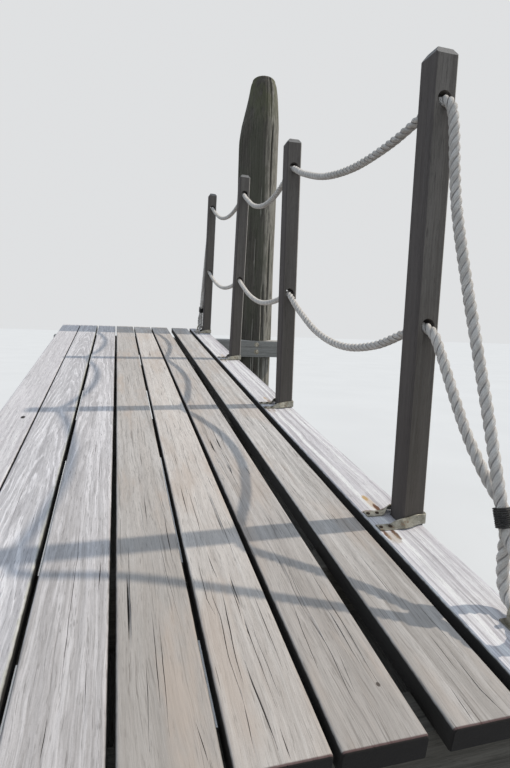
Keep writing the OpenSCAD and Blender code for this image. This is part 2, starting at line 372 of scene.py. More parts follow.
def rope_material():
    g = Graph("rope_strands")
    s, a, r = g.attribute("along"), g.attribute("angle"), g.attribute("depth")
    obj = g.coords()
    yarn = g.math("SINE", g.plus(g.times(a, 11.0), g.times(s, -2 * math.pi / YARN_LAY)))
    yarn = g.plus(yarn, g.times(g.noise(obj, 300, 2, 0.6), 1.6))
    fuzz = g.noise(obj, 900, 3, 0.6)
    cloudy = g.noise(obj, 42, 3, 0.6)
    worn = g.noise(g.mapping(obj, scale=(1, 0.4, 1)), 6, 3, 0.6)
    depth = g.ramp(r, 0.0096, 0.0120)
    base = g.mix(g.ramp(cloudy, 0.35, 0.7), (0.64, 0.605, 0.56), (0.82, 0.785, 0.74))
    base = g.mix(g.times(g.ramp(worn, 0.52, 0.74), 0.5), base, (0.53, 0.50, 0.45))
    # painted shade: the grooves between the strands are painted darker than the crowns
    base = g.mix(depth, (0.36, 0.335, 0.325), base)
    base = g.mix(g.times(g.ramp(yarn, 0.0, 0.9, 1.0, 0.0), 0.20), base, (0.42, 0.395, 0.36))
    base = g.mix(g.times(g.ramp(fuzz, 0.45, 0.30), 0.30), base, (0.40, 0.38, 0.35))
    height = g.plus(g.times(yarn, 0.4), g.times(fuzz, 0.8))
    return g.finish(base, 0.9, g.bump(height, 0.0007, 1.0), specular=0.15)


rope_mat = rope_material()
for rope_name, route, seed in (("upper_rope", UPPER, 3), ("lower_rope", LOWER, 8)):
    rope, path, length = rope_mesh(rope_name + "_laid", route, seed)
    dress(rope, rope_mat, rope_name)
    every_second = [tuple(p) for p in path[::2]]
    if len(path) % 2 == 0:
        every_second.append(tuple(path[-1]))
    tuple(path[0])


# ---- wood materials
PALEST = 0.88
CHECK_TONE = (0.045, 0.038, 0.034)
WOOD_ROUGH = 0.78


def shade(color, k):
    return [min(PALEST, c * k) for c in color]


def wood(name, light, dark, tint, axis, offset, figure=0.0, checks=0.8, streak=0.5, relief=0.0009,
         heart=None, slant=0.0, lines=0.3, bands=0.0, extra=None):
    """Weathered wood with its grain along one axis; "deck" follows the sloping boards.

    heart gives the place across, depth, taper and spacing of the growth rings that the face cuts,
    and figure says how strongly they show.
    """
    g = Graph(name)
    vec = g.coords()
    if axis == "deck":
        foot = (0, -DECK_Z * math.sin(SLOPE), -DECK_Z * math.cos(SLOPE))
        vec = g.mapping(vec, loc=foot, rot=(-SLOPE, 0, 0))
    x, y, z = g.split(vec)
    u, v, along = {"Z": (x, y, z), "X": (y, z, x), "deck": (x, z, y)}[axis]
    base = g.join(g.plus(u, offset), g.plus(v, offset * 0.37), along)
    drift = g.grain(base, (6, 6, 1.5), 3, 0.6)
    ripple = g.grain(base, (30, 30, 7), 2, 0.6, (0, 3, 9))
    drift = g.plus(g.times(g.minus(drift, 0.5), 0.040), g.times(g.minus(ripple, 0.5), 0.0050))
    uu = g.plus(g.plus(u, offset), g.plus(drift, g.times(along, slant)))
    warped = g.join(uu, g.plus(v, offset), along)
    fibre = g.grain(warped, (640, 640, 34), 3, 0.7)
    fine = g.grain(warped, (260, 260, 8.5), 4, 0.65)
    band = g.grain(warped, (75, 75, 1.7), 4, 0.6)
    broad = g.grain(warped, (20, 20, 0.8), 3, 0.55)
    thread = g.grain(warped, (205, 205, 3.6), 3, 0.6, (1.7, 0, 5))
    dash = g.grain(warped, (430, 430, 24), 2, 0.6, (4.2, 0, 1))
    grit = g.noise(base, 950, 2, 0.6)
    blotch = g.noise(base, 4.5, 4, 0.65)
    color = g.mix(g.ramp(band, 0.32, 0.68), dark, light)
    color = g.mix(g.times(g.ramp(broad, 0.38, 0.66), streak), color, tint)
    white = shade(light, 1.30)
    if heart:
        centre, deep, taper, spacing = heart
        across = g.plus(g.minus(u, centre), drift)
        radius = g.math("SQRT", g.plus(g.times(across, across), deep * deep))
        radius = g.plus(radius, g.times(along, taper))
        wave = g.grain(base, (26, 26, 5), 3, 0.6, (5, 1, 0))
        radius = g.plus(radius, g.times(wave, spacing * 1.5))
        ring = g.math("SINE", g.times(radius, 2 * math.pi / spacing))
        ring = g.plus(ring, g.times(g.minus(fine, 0.5), 2.6))
        worn = g.grain(base, (30, 30, 6), 3, 0.6, (2, 8, 0))
        ring = g.times(g.ramp(ring, 0.0, 1.3), g.ramp(worn, 0.34, 0.56, 0.2, 1.0))
        color = g.mix(g.times(ring, figure), color, white)
    if bands:
        stripe = g.grain(warped, (52, 52, 0.55), 4, 0.6, (9, 0, 4))
        color = g.mix(g.times(g.ramp(stripe, 0.50, 0.63), bands), color, white)
        color = g.mix(g.times(g.ramp(stripe, 0.47, 0.36), bands * 0.8), color, shade(dark, 0.80))
    # each layer: pattern, where it starts and is full, strength, tone
    for pattern, start, full, strength, tone in (
            (fine, 0.50, 0.32, 0.38, shade(dark, 0.72)),
            (fibre, 0.50, 0.32, 0.38, shade(dark, 0.66)),
            (fibre, 0.52, 0.68, 0.30, shade(light, 1.22)),
            (thread, 0.42, 0.34, lines, shade(dark, 0.42)),
            (dash, 0.40, 0.31, 0.55, shade(dark, 0.34)),
            (grit, 0.48, 0.30, 0.30, shade(dark, 0.62)),
            (grit, 0.54, 0.70, 0.22, white),
            (blotch, 0.50, 0.74, 0.26, shade(tint, 0.84))):
        color = g.mix(g.times(g.ramp(pattern, start, full), strength), color, tone)
    crack = g.grain(warped, (230, 230, 6.5), 2, 0.5, (7.3, 0, 2.1))
    place = g.grain(warped, (18, 18, 2.2), 2, 0.5, (3.1, 4, 0))
    crack = g.times(g.ramp(crack, 0.33, 0.28), g.ramp(place, 0.46, 0.60))
    color = g.mix(g.times(crack, checks), color, CHECK_TONE)
    if extra:
        color = extra(g, color, (x, y, z), warped)
    height = g.plus(g.times(fine, 0.6), g.times(fibre, 0.35))
    height = g.plus(height, g.times(band, 0.4))
    height = g.minus(height, g.times(crack, 1.6 * checks))
    rough = g.ramp(blotch, 0.2, 0.8, WOOD_ROUGH, WOOD_ROUGH + 0.1)
    return g.finish(color, rough, g.bump(height, relief, 0.9))


def spot(g, x, y, cx, cy, rx, ry, ragged):
    """How far inside a ragged oval a place is, from 0 to 1."""
    dx = g.math("DIVIDE", g.minus(x, cx), rx)
    dy = g.math("DIVIDE", g.minus(y, cy), ry)
    d = g.plus(g.times(dx, dx), g.times(dy, dy))
    if ragged:
        d = g.plus(d, g.times(g.minus(g.noise(g.coords(), 130, 3, 0.65), 0.5), ragged))
    return g.ramp(d, 1.3, 0.35)


NEAR_END = -BOARD_L / 2 - BOARD_T / 2 * TAN
# painted shade: near black for the board sides down in the gaps, and for the near end faces, whose dark end
# grain is painted darker as if in shade
SIDE_SHADE_PAINT = (0.017, 0.016, 0.015)
DARK_END_AND_SHADE = (0.009, 0.008, 0.008)
RED_ARRIS = (0.075, 0.028, 0.030)
DAMP_STAIN = (0.27, 0.24, 0.21)
TAN_STAIN = (0.50, 0.415, 0.35)
TAN_SHARE = {3: 0.55, 4: 0.45, 5: 0.40, 6: 0.35}
# Of each board: light, dark, tint, then figure, checks, lines, bands, how dark its near end is, slant,
# and heart: place, depth, taper, spacing
BOARD_LOOK = [
    ((0.72, 0.70, 0.725), (0.53, 0.515, 0.535), (0.65, 0.63, 0.65),
     0.45, 0.2, 0.20, 0.25, 0.0, 0.0, (0.16, 0.05, 0.01, 0.017)),
    ((0.66, 0.65, 0.67), (0.45, 0.44, 0.46), (0.55, 0.54, 0.555),
     1.0, 0.2, 0.20, 0.50, 0.0, 0.0, (0.085, 0.03, 0.055, 0.013)),
    ((0.66, 0.645, 0.66), (0.46, 0.445, 0.455), (0.56, 0.545, 0.555),
     0.85, 0.3, 0.30, 0.60, 0.6, 0.0, (0.06, 0.04, 0.020, 0.015)),
    ((0.59, 0.565, 0.545), (0.45, 0.425, 0.405), (0.55, 0.505, 0.47),
     0.15, 0.6, 0.60, 0.10, 0.8, 0.03, None),
    ((0.72, 0.685, 0.655), (0.56, 0.52, 0.49), (0.69, 0.63, 0.585),
     0.20, 0.9, 0.50, 0.20, 0.6, 0.0, None),
    ((0.61, 0.585, 0.565), (0.45, 0.425, 0.41), (0.57, 0.53, 0.505),
     0.25, 0.8, 0.70, 0.45, 0.9, 0.0, (0.06, 0.09, 0.01, 0.013)),
    ((0.63, 0.61, 0.595), (0.44, 0.42, 0.405), (0.58, 0.545, 0.52),
     0.30, 0.8, 0.70, 0.55, 0.8, 0.0, (0.03, 0.08, 0.01, 0.016)),
    ((0.84, 0.83, 0.86), (0.50, 0.475, 0.50), (0.70, 0.68, 0.71),
     0.50, 0.3, 0.40, 1.0, 0.0, 0.0, (0.09, 0.07, 0.01, 0.022)),
]


# Single marks on boards: on board 1 a black spot, the painted shade of a hole that is not modelled, and on
# board 6 a knot. Each gives place across and along, its two radii, raggedness, tone
SPOTS = {0: (0.101, -0.546, 0.0090, 0.0180, 0.0, (0.012, 0.010, 0.010)),
         5: (0.112, -2.002, 0.004, 0.005, 0.5, (0.10, 0.085, 0.075))}
# Rust by each strap: place across, and along from the post, its two radii, strength, raggedness, tone
RUST = [(0.224, 0.100, 0.012, 0.052, 0.45, 1.4, (0.62, 0.43, 0.21)),
        (0.221, 0.132, 0.008, 0.018, 0.8, 1.2, (0.52, 0.33, 0.11)),
        (0.228, 0.072, 0.008, 0.024, 0.95, 1.5, (0.12, 0.045, 0.020)),
        (0.192, 0.052, 0.022, 0.010, 0.8, 1.5, (0.20, 0.085, 0.035)),
        (0.181, -0.068, 0.006, 0.026, 0.95, 1.8, (0.15, 0.070, 0.032)),
        (0.207, -0.066, 0.007, 0.032, 0.95, 2.0, (0.12, 0.055, 0.025)),
        (0.192, -0.085, 0.016, 0.030, 0.5, 2.2, (0.46, 0.37, 0.26))]
RUST_FADE = (1.0, 0.55, 0.55, 0.7)


def board_extra(i):
    """Stains and marks of a board, a painted hole, painted shade on its sides and near end face, and the
    reddish edge above the near end.
    """
    near_dark = BOARD_LOOK[i][7]

    def extra(g, color, xyz, warped):
        x, y, z = xyz
        if near_dark:
            reach = g.plus(y, g.times(g.grain(warped, (22, 22, 3), 4, 0.65), 1.1))
            color = g.mix(g.ramp(reach, -0.2, -1.5, 0.0, 0.55 * near_dark), color, DAMP_STAIN)
        if i in TAN_SHARE:
            tan = g.grain(warped, (13, 13, 2.6), 4, 0.6, (0, 5, 2))
            color = g.mix(g.times(g.ramp(tan, 0.47, 0.66), TAN_SHARE[i]), color, TAN_STAIN)
        if i == 1:
            edge = g.plus(x, g.times(g.noise(warped, 40, 2), 0.010))
            edge = g.ramp(edge, BOARD_X[1] + 0.141, BOARD_X[1] + 0.149)
            color = g.mix(g.times(edge, 0.45), color, (0.46, 0.47, 0.34))
        if i in SPOTS:
            across, along, rx, ry, ragged, tone = SPOTS[i]
            # board 1: painted shade of a hole; board 6: a knot
            color = g.mix(spot(g, x, y, BOARD_X[i] + across, along, rx, ry, ragged), color, tone)
        if i == 7:
            for post_y, fade in zip(POST_Y, RUST_FADE):
                for across, along, rx, ry, strength, ragged, tone in RUST:
                    fac = spot(g, x, y, across, post_y / math.cos(SLOPE) + along, rx, ry, ragged)
                    color = g.mix(g.times(fac, strength * fade), color, tone)
        lip = g.minus(y, NEAR_END)
        color = g.mix(g.times(g.ramp(lip, 0.0060, 0.0035), 0.85), color, RED_ARRIS)
        # painted shade: the sides are painted near black from a few mm below the top
        below = g.plus(g.times(z, -1.0), g.times(g.noise(warped, 45, 3), 0.003))
        color = g.mix(g.ramp(below, 0.0028, 0.0066, 0.0, 0.97), color, SIDE_SHADE_PAINT)
        # the near end face: dark end grain with painted shade
        return g.mix(g.ramp(lip, 0.0026, 0.0012), color, DARK_END_AND_SHADE)
    return extra


def board_material(i):
    light, dark, tint, figure, checks, lines, bands, _, slant, heart = BOARD_LOOK[i]
    if heart:
        heart = (BOARD_X[i] + heart[0],) + heart[1:]
    return wood(f"deck_wood_{i + 1}", light, dark, tint, "deck", 1.7 * i, figure=figure, checks=checks,
                relief=0.0008, heart=heart, slant=slant, lines=lines, bands=bands, extra=board_extra(i))


# ---- deck boards
def board_outline():
    """Section of a board with worn round long edges, from its left foot over the top and back below."""
    w, t = BOARD_W, BOARD_T
    top_r, foot_r, inset, across = 0.006, 0.003, 0.012, 46
    pts = []

    def corner(cx, cz, r, a0, a1, n):
        for k in range(n + 1):
            a = math.radians(a0 + (a1 - a0) * k / n)
            pts.append((cx + r * math.cos(a), cz + r * math.sin(a)))
    corner(foot_r, -t + foot_r, foot_r, 225, 180, 1)
    pts += [(0.0, -t * 0.62), (0.0, -t * 0.34)]
    corner(top_r, -top_r, top_r, 180, 90, 5)
    top_start = len(pts)
    pts += [(inset + (w - 2 * inset) * k / across, 0.0) for k in range(across + 1)]
    top_end = len(pts)
    corner(w - top_r, -top_r, top_r, 90, 0, 5)
    pts += [(w, -t * 0.34), (w, -t * 0.62)]
    corner(w - foot_r, -t + foot_r, foot_r, 0, -45, 1)
    return pts, top_start, top_end


def board_checks(i, rnd):
    """Drying checks of a board: place across, start, end, half width, depth."""
    out = []
    for _ in range((4, 5, 6, 12, 18, 16, 14)[i]):
        x = rnd.uniform(0.018, 0.127)
        y0 = rnd.uniform(-2.05, 1.9) if rnd.random() < 0.6 else rnd.uniform(-2.05, -0.6)
        size = rnd.uniform(0.08, 0.38)
        out.append((x, y0, y0 + size, rnd.uniform(0.0004, 0.0010), rnd.uniform(0.003, 0.008)))
    return out


# Long open cracks: board, half width in mm, then places across and along the board in mm
CRACKS = [
    (2, 0.5, [(68, -1351), (74, -1540), (73, -1728), (73, -1865), (76, -1934)]),
    (2, 0.7, [(61, -1962), (60, -2026)]),
    (2, 0.5, [(110, -1872), (112, -1959)]),
    (3, 0.6, [(116, -2010), (124, -2075)]),
    (3, 0.5, [(51, -1882), (49, -1960), (47, -2030)]),
    (3, 0.5, [(78, -1787), (78, -1927), (76, -2016)]),
    (3, 0.4, [(100, -1480), (106, -1640), (118, -1800)]),
    (4, 0.7, [(50, -1240), (52, -1430), (49, -1540)]),
    (4, 0.8, [(52, -1580), (52, -1613), (50, -1690)]),
    (4, 1.3, [(59, -1720), (54, -1783), (52, -1834), (49, -1886), (44, -1955)]),
    (4, 1.6, [(60, -1915), (63, -1969), (67, -2021), (68, -2066)]),
    (4, 0.8, [(41, -1990), (38, -2022), (35, -2060)]),
    (4, 0.9, [(81, -2050), (82, -2092)]),
    (4, 0.7, [(25, -1600), (24, -1700), (23, -1742), (32, -1790)]),
    (4, 0.8, [(80, -1700), (81, -1764), (79, -1820)]),
    (4, 0.5, [(95, -1828), (94, -1859), (96, -1907), (98, -1990)]),
    (5, 0.6, [(36, -1780), (28, -1885), (24, -1960)]),
    (5, 0.5, [(59, -1654), (50, -1791), (57, -1892)]),
    (5, 0.6, [(75, -1920), (67, -2005)]),
    (6, 0.7, [(110, -1845), (114, -1950)]),
    (6, 0.7, [(96, -1965), (93, -2042), (102, -2092)]),
    (6, 0.9, [(45, -2030), (40, -2098)]),
]


SHIFT_FADE = 0.12
RUN_OUT = 0.05
SPREAD = 9


def plank_skin(i, section, top_start, top_end, rows):
    """Points of a board's rows, with wandering columns, worn grain and eased ends."""
    half = BOARD_L / 2
    verts = []
    seed = Vector((i * 3.7, 1.3, 0.4))
    for y in rows:
        end = min(y + half, half - y)
        shrink = 0.0022 * (1 - min(1.0, end / 0.005)) ** 2
        for k, (x, z) in enumerate(section):
            wob = noise.noise(Vector((x * 9, y * 0.9, i * 2.1)) + seed)
            grain = noise.noise(Vector((x * 95, y * 2.0, i * 5.3)) + seed)
            px, pz = x, z
            if top_start <= k < top_end:
                calm = min(1.0, (x - 0.010) / 0.012, (BOARD_W - 0.010 - x) / 0.012)
                px += calm * 0.0045 * noise.noise(Vector((i * 7.7 + x * 16, y * 2.6, 0.3)))
                px += calm * 0.0016 * noise.noise(Vector((i * 3.7 + x * 16, y * 9.0, 4.3)))
                pz -= 0.0004 * (1 + grain) + 0.0003 * (1 + wob)
            else:
                lift = 0.0005 * (1 + noise.noise(Vector((x * 40, y * 6, z * 40)) + seed))
                px += lift if x < BOARD_W / 2 else -lift
                if z > -0.02:
                    pz -= 0.0006 * (1 + wob)
            px += shrink if x < BOARD_W / 2 else -shrink
            pz += -shrink if z > -BOARD_T / 2 else shrink
            verts.append([px, y, pz])
    return verts


def lead_column(verts, rows, n, k, top_start, top_end, places):
    """Moves column k of the top, and its neighbours less, onto a crack's places."""
    ys = [a for a, _ in places]
    mean = sum(b for _, b in places) / len(places)
    for r, y in enumerate(rows):
        away = max(ys[0] - y, y - ys[-1], 0.0)
        if away > SHIFT_FADE:
            continue
        target = float(np.interp(y, ys, [b for _, b in places]))
        target += 0.0012 * noise.noise(Vector((y * 21, mean * 50, 0.7)))
        move = (target - verts[r * n + k][0]) * smooth(1 - away / SHIFT_FADE)
        for d in range(1 - SPREAD, SPREAD):
            if top_start <= k + d < top_end:
                verts[r * n + k + d][0] += move * smooth(1 - abs(d) / SPREAD)


def open_groove(verts, rows, n, k, i, crack):
    """Sinks column k and draws its neighbours close, so that a check is a real groove."""
    cx, y0, y1, half_w, depth = crack
    for r, y in enumerate(rows):
        near = smooth(1 - max(y0 - y, y - y1, 0.0) / RUN_OUT)
        if near <= 0:
            continue
        t = min(1.0, max(0.0, (y - y0) / (y1 - y0)))
        gape = math.sin(math.pi * t) * (0.95 + 0.5 * noise.noise(Vector((y * 14, cx * 50, i))))
        a, b, c = (verts[r * n + k + d] for d in (-1, 0, 1))
        w = 0.0001 + half_w * max(0.0, gape)
        b[2] -= depth * max(0.0, gape)
        a[0] += (b[0] - w - a[0]) * near
        c[0] += (b[0] + w - c[0]) * near


def deck_board(i):
    section, top_start, top_end = board_outline()
    n = len(section)
    xs = [p[0] for p in section]

    def column(x):
        return min(range(top_start + 1, top_end - 1), key=lambda k: abs(xs[k] - x))
    half = BOARD_L / 2
    rows = [-half, -half + 0.002, -half + 0.005]
    rows += [-half + 0.008 + (BOARD_L - 0.016) * k / 250 for k in range(251)]
    rows += [half - 0.005, half - 0.002, half]
    verts = plank_skin(i, section, top_start, top_end, rows)
    grooves = [(column(c[0]), c) for c in board_checks(i, random.Random(40 + i))]
    for board, half_w, route in CRACKS:
        if board == i:
            places = sorted((along / 1000, across / 1000) for across, along in route)
            mean = sum(b for _, b in places) / len(places)
            k = column(mean)
            lead_column(verts, rows, n, k, top_start, top_end, places)
            grooves.append((k, (mean, places[0][0], places[-1][0], half_w / 1000, 0.006 + 0.004 * half_w)))
    for k, crack in grooves:
        open_groove(verts, rows, n, k, i, crack)
    last = (len(rows) - 1) * n
    faces = [(r + k, r + n + k, r + n + (k + 1) % n, r + (k + 1) % n)
             for r in range(0, last, n) for k in range(n)]
    faces.append(tuple(range(n)))
    faces.append(tuple(last + k for k in range(n - 1, -1, -1)))
    obj = new_mesh(f"deck_board_{i + 1}_plank", verts, faces)
    obj.data.transform(Matrix.Translation((BOARD_X[i], 0, DECK_Z)) @ Matrix.Rotation(SLOPE, 4, "X") @
                       Matrix.Translation((0, -BOARD_T / 2 * TAN, 0)))
    face_outward(obj.data)
    rounded(obj.data, 38)
    return obj


for i in range(7):
    dress(deck_board(i), board_material(i), f"deck_board_{i + 1}")


def cad_look(name, mat, bevel):
    """Material and worn edges for a node that is shown as it is."""
    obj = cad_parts[name]
    obj.data.materials.clear()
    obj.data.materials.append(mat)
    mod = obj.modifiers.new("worn_edges", "BEVEL")
    mod.width = bevel
    mod.segments = 2
    mod.limit_method = "ANGLE"
    mod.angle_limit = math.radians(35)


cad_look("deck_board_8", board_material(7), 0.0012)


# ---- posts, timber, bearers, stringers
def painted_sun_and_shade(pale, start, end, strength, top=None, foot=False):
    """Painted light and shade by the way a face turns: sides that face the sun are painted a lighter tone and
    tops a tone of their own; posts get painted shade on the faces turned from the sun, and are darker towards
    the foot and further along the deck.
    """
    def extra(g, color, xyz, warped):
        _, y, z = xyz
        normal = g.normal()
        if foot:
            # darker towards the foot, and darker on the posts further along the deck
            above = g.minus(z, g.plus(DECK_Z, g.times(y, TAN)))
            color = g.mix(g.ramp(above, 0.95, 0.0, 0.0, 0.60), color, (0.095, 0.080, 0.064))
            color = g.mix(g.ramp(y, -1.4, -0.5, 0.0, 0.42), color, (0.085, 0.078, 0.072))
            # painted shade on the faces that turn away from the sun
            color = g.mix(g.ramp(normal[0], -0.35, -0.75, 0.0, 0.55), color, (0.060, 0.052, 0.056))
        # painted light: faces towards the sun are painted a lighter tone
        fac = g.times(g.ramp(normal[0], start, end), strength)
        patchy = g.mix(g.ramp(g.noise(warped, 60, 3), 0.3, 0.7), shade(pale, 0.8), pale)
        color = g.mix(fac, color, patchy)
        # painted light: tops are painted a tone of their own, as lit from above
        if top:
            color = g.mix(g.ramp(normal[2], 0.35, 0.6, 0.0, 0.85), color,
                          g.mix(g.ramp(g.noise(warped, 90, 3), 0.3, 0.7), shade(top, 0.8), top))
        return color
    return extra


# posts, timber and bearers get painted light on their sunny sides and tops, and the posts painted shade on
# their shaded sides
post_mat = wood("post_wood", (0.245, 0.226, 0.205), (0.145, 0.132, 0.118), (0.192, 0.170, 0.150),
                "Z", 0.4, lines=0.35,
                extra=painted_sun_and_shade((0.50, 0.48, 0.45), 0.3, 0.75, 0.8, (0.30, 0.30, 0.30), True))
for i in range(4):
    cad_look(f"rail_post_{i + 1}", post_mat, 0.0012)
timber_mat = wood("timber_wood", (0.40, 0.395, 0.37), (0.25, 0.245, 0.23), (0.33, 0.32, 0.29),
                  "X", 2.4, lines=0.45,
                  extra=painted_sun_and_shade((0.50, 0.48, 0.45), 0.4, 0.8, 0.5, (0.62, 0.60, 0.57)))
cad_look("cross_timber", timber_mat, 0.004)
bearer_mat = wood("bearer_wood", (0.15, 0.14, 0.12), (0.075, 0.07, 0.06), (0.11, 0.10, 0.082),
                  "X", 6.2, lines=0.45,
                  extra=painted_sun_and_shade((0.30, 0.285, 0.255), 0.4, 0.8, 0.5))
for n in ("end_bearer", "bearer_1", "bearer_2", "bearer_3"):
    cad_look(n, bearer_mat, 0.003)
stringer_mat = wood("stringer_wood", (0.26, 0.245, 0.22), (0.14, 0.13, 0.115), (0.21, 0.195, 0.165),
                    "deck", 5.1)
for n in ("left_stringer", "right_stringer"):
    cad_look(n, stringer_mat, 0.003)


# ---- pile and legs
def log_mesh(name, centre, radius_at, top, seed, cracks, columns, ring, cut, rough=0.02, tilt=0.0):
    """A trunk on z = 0 with drying cracks; cut: two levels of its flat at y, and what lays points on it."""
    rnd = random.Random(seed)
    cx, cy = centre
    levels = list(np.arange(0, top, ring)) + [top]
    if tilt:
        levels += [3.500, 3.508, 3.516, 3.530, 3.541]
    low, high, clamp = cut
    z_low, z_high = low(cy), high(cy)
    rows = [(z, z_low < z < z_high, None) for z in levels
            if abs(z - z_low) >= CUT_CALM and abs(z - z_high) >= CUT_CALM]
    rows += [(z_low, False, low), (z_low, True, low)]
    if z_high < top:
        rows += [(z_high, True, high), (z_high, False, high)]
    rows.sort(key=lambda r: (round(r[0], 6), r[1] != (r[2] is high)))
    grooves = []
    for _ in range(cracks):
        z0 = rnd.uniform(-0.2, top * 0.9)
        grooves.append((rnd.randrange(columns), z0, z0 + rnd.uniform(0.25, 1.1), rnd.uniform(0.006, 0.014)))
    shift = Vector((seed * 1.7, 2.3, 0.9))
    verts = []
    for z, inside, sloped in rows:
        r0 = radius_at(z)
        for k in range(columns):
            a = 2 * math.pi * k / columns
            dirn = Vector((math.cos(a), math.sin(a), 0))
            lump = noise.noise(Vector((dirn.x * 1.6, dirn.y * 1.6, z * 1.3)) + shift)
            ridge = noise.noise(Vector((dirn.x * 14, dirn.y * 14, z * 1.6)) + shift)
            chip = noise.noise(Vector((dirn.x * 34, dirn.y * 34, z * 5.0)) + shift)
            r = r0 * (1 - rough * (1 + lump)) - 0.0022 * (1 + ridge) - 0.0010 * (1 + chip)
            for col, z0, z1, depth in grooves:
                if z0 < z < z1:
                    drift = 0.9 * noise.noise(Vector((col, z * 3.0, seed)))
                    d = (k - col - drift + columns / 2) % columns - columns / 2
                    if abs(d) < 1.5:
                        r -= depth * math.sin(math.pi * (z - z0) / (z1 - z0)) ** 0.6 * (1 - abs(d) / 1.5)
            sway = tilt * smooth((z - PILE_TAPER) / 0.5)
            x, y = cx + dirn.x * r + SWAY_X * sway, cy + dirn.y * r + SWAY_Y * sway
            if inside:
                x, y = clamp(x, y)
            verts.append((x, y, z if sloped is None else sloped(y)))
    faces = tube_faces(len(rows), columns, closed_ends=False)
    base = len(verts)
    verts.append((cx, cy, 0.0))
    faces += [(base, (k + 1) % columns, k) for k in range(columns)]
    last = (len(rows) - 1) * columns
    for k in range(columns):
        vx, vy, vz = verts[last + k]
        verts[last + k] = (vx, vy, vz - 0.010 * max(0.0, 0.3 + noise.noise(Vector((vx * 22, vy * 22, seed)))))
    tip = np.mean([verts[last + k] for k in range(columns)], axis=0)
    verts.append((tip[0], tip[1], top))
    faces += [(base + 1, last + k, last + (k + 1) % columns) for k in range(columns)]
    obj = new_mesh(name, verts, faces)
    rounded(obj.data, 55)
    return obj


PILE_PROFILE = [(PILE_TAPER, 0.1825), (3.00, 0.182), (3.12, 0.174), (3.27, 0.152), (3.39, 0.134),
                (3.48, 0.119), (PILE_DOME, PILE_DOME_R)]


def pile_radius(z):
    if z > PILE_DOME:
        return PILE_DOME_R * math.sqrt(max(0.04, 1 - ((z - PILE_DOME) / 0.048) ** 2.6))
    return float(np.interp(z, [a for a, _ in PILE_PROFILE], [b for _, b in PILE_PROFILE]))


def pile_extra(g, color, xyz, warped):
    """A painted lighter tone on the side that faces the sun, mossy at the top, green in the shade and damp at
    the foot.
    """
    z = xyz[2]
    normal = g.normal()
    patch = g.grain(g.coords(), (9, 9, 3), 4, 0.65)
    flake = g.grain(warped, (55, 55, 9), 4, 0.65)
    # painted light: the side towards the sun is painted lighter, in flakes
    sunny = g.times(g.ramp(normal[0], 0.02, 0.45), g.ramp(flake, 0.34, 0.56, 0.25, 1.0))
    color = g.mix(g.times(sunny, 0.72), color, (0.40, 0.385, 0.335))
    moss = g.times(g.ramp(z, 3.0, 3.5), g.ramp(patch, 0.42, 0.60))
    color = g.mix(g.times(moss, 0.65), color, (0.13, 0.135, 0.060))
    green = g.ramp(g.plus(patch, g.times(normal[0], -0.06)), 0.46, 0.62)
    color = g.mix(g.times(green, 0.35), color, (0.085, 0.095, 0.062))
    return g.mix(g.ramp(g.plus(z, g.times(patch, 0.4)), 0.75, 0.45, 0.0, 0.7), color,
                 (0.045, 0.047, 0.030))


pile_mat = wood("pile_wood", (0.150, 0.139, 0.117), (0.050, 0.046, 0.038), (0.096, 0.087, 0.072),
                "Z", 3.3, checks=1.0, streak=0.6, relief=0.004, lines=0.7, extra=pile_extra)
timber_cut = (lambda y: deck_z(y) - STRINGER_DROP - 0.001, lambda y: deck_z(y) - BEARER_DROP + 0.001,
              lambda x, y: (x, max(y, TIMBER_BACK)))
pile = log_mesh("mooring_pile_trunk", PILE_AT, pile_radius, PILE_TOP, 5, 60, columns=180, ring=0.016,
                cut=timber_cut, tilt=0.027)
dress(pile, pile_mat, "mooring_pile")


def leg_cut(edge, sign):
    """Above the stringer's foot, one side of a leg is flat."""
    pick = min if sign > 0 else max
    return (lambda y: deck_z(y) - STRINGER_DROP - STRINGER_HIGH - CLEAR, lambda y: 9.0,
            lambda x, y: (pick(x, edge), y))


leg_mat = wood("leg_wood", (0.30, 0.28, 0.24), (0.16, 0.145, 0.12), (0.24, 0.22, 0.18), "Z", 8.3,
               checks=1.0, streak=0.6, relief=0.002, extra=pile_extra)
for side, (leg_x, sign) in zip(("left", "right"), LEGS):
    for n, (place, leg_y) in enumerate(LEG_Y):
        top = deck_z(leg_y) - STRINGER_DROP - 0.015
        leg = log_mesh(f"{place}_{side}_leg_log", (leg_x, leg_y), lambda z: LEG_R, top,
                       20 + n + 3 * (sign > 0), 14, columns=84, ring=0.022,
                       cut=leg_cut(leg_x - sign * 0.0006, sign), rough=0.012)
        dress(leg, leg_mat, f"{place}_{side}_leg")


# ---- steel
def steel_material(name, rust, tone=1.0):
    g = Graph(name)
    obj = g.coords()
    cloud = g.noise(obj, 45, 4, 0.6)
    spots = g.noise(obj, 160, 4, 0.7)
    zinc = g.cells(obj, 170)
    base = g.mix(g.split(zinc)[0], (0.25, 0.238, 0.195), (0.40, 0.385, 0.33))
    base = g.mix(g.ramp(cloud, 0.38, 0.75), base, (0.16, 0.148, 0.112))
    worn = g.ramp(g.plus(g.times(cloud, 0.6), g.times(spots, 0.4)), 0.60 - rust, 0.68 - rust)
    base = g.mix(worn, base, shade((0.13, 0.065, 0.035), tone))
    base = g.mix(g.times(worn, g.ramp(spots, 0.5, 0.62)), base, shade((0.22, 0.10, 0.04), tone))
    return g.finish(base, g.ramp(worn, 0.0, 1.0, 0.34, 0.85), g.bump(g.plus(spots, worn), 0.0004, 0.8),
                    metallic=g.ramp(worn, 0.0, 1.0, 0.7, 0.1), specular=0.5)


strap_mat = steel_material("strap_steel", 0.025)
bolt_mat = steel_material("bolt_steel", 0.02)
eye_mat = steel_material("eye_steel", 0.0)
screw_mat = steel_material("screw_steel", 0.3, 0.16)


